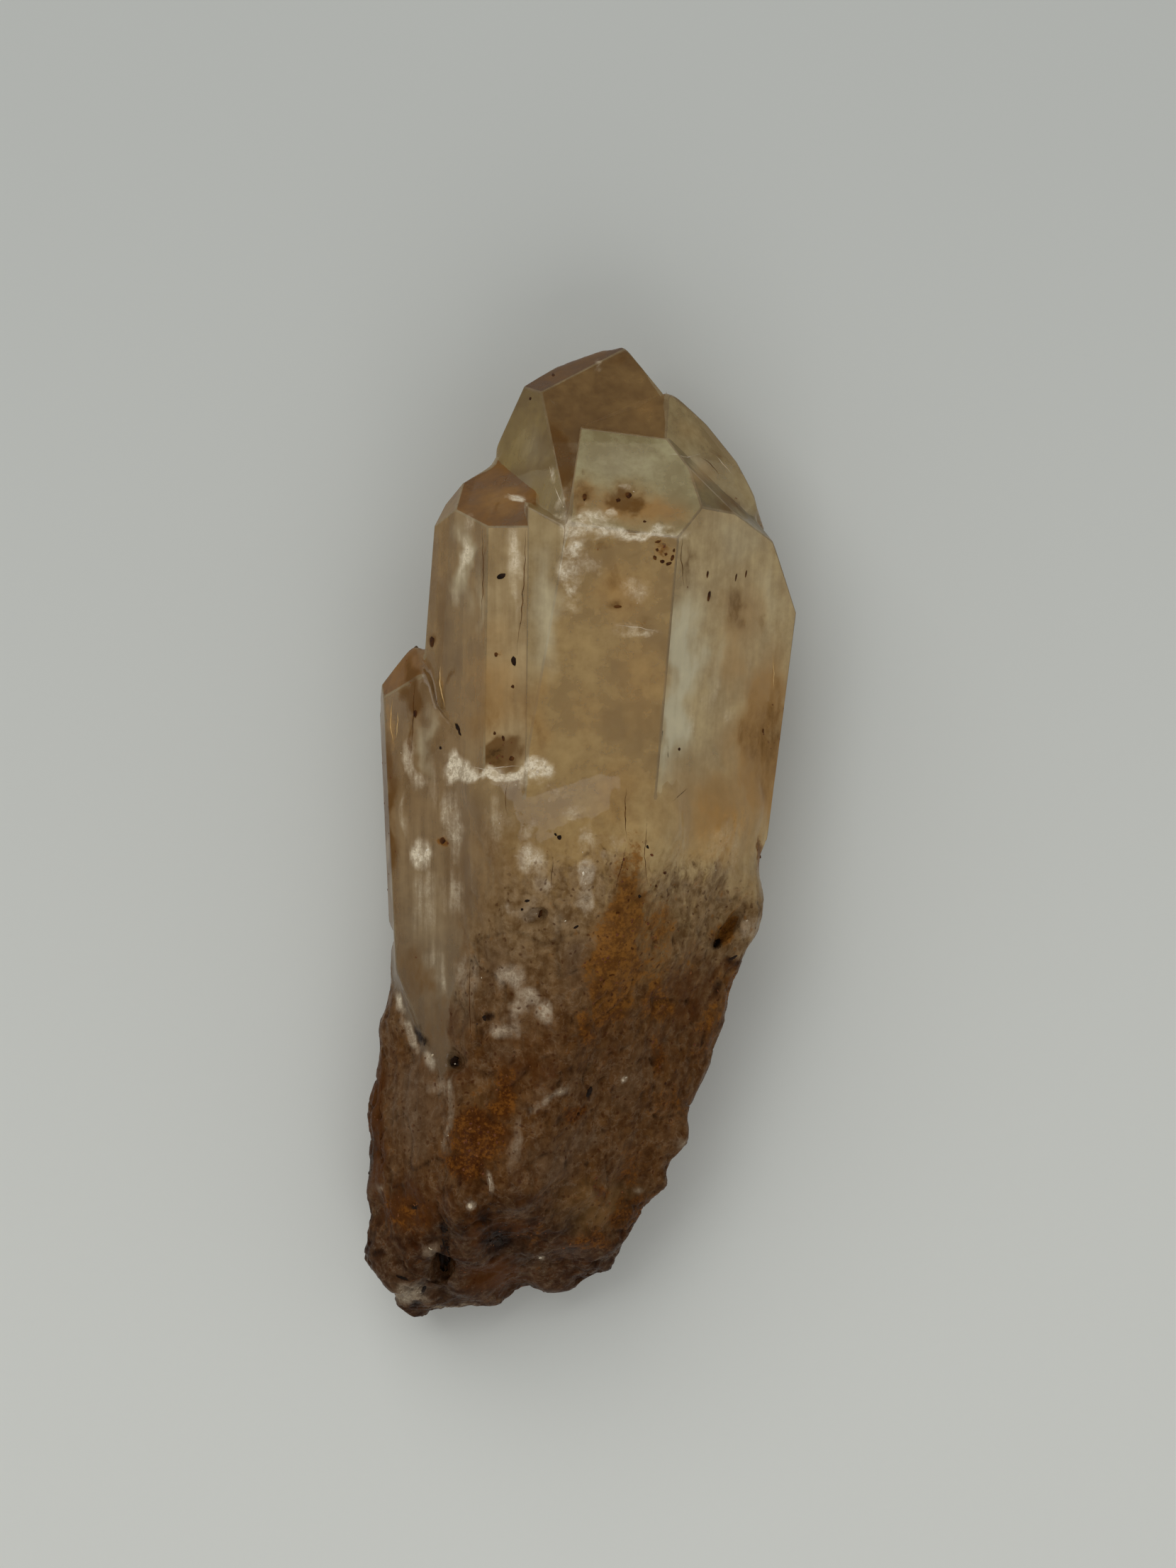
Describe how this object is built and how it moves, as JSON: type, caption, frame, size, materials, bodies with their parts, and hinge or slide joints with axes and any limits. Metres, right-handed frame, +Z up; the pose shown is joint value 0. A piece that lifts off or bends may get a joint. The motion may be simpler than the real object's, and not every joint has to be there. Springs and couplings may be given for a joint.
{
  "type": "citrine quartz crystal cluster",
  "caption": "Smoky amber quartz crystals grown side by side into one point, lying on a flat prism face, with a broken iron-stained base.",
  "frame": {"origin": "middle of the bounding box on the resting face, so the flat underside lies in the plane z = 0", "axes": "+Y along the crystals towards their tips, +Z up from the resting face, +X towards the broad right side face"},
  "size_m": [0.0303, 0.0684, 0.02],
  "materials": {
    "citrine": "clear to milky smoky amber quartz with white veils, pale frosted patches and rusty brown iron stain, glossy faces, rough broken base"
  },
  "bodies": {
    "root": {"citrine_crystal": "citrine"}
  },
  "joints": []
}
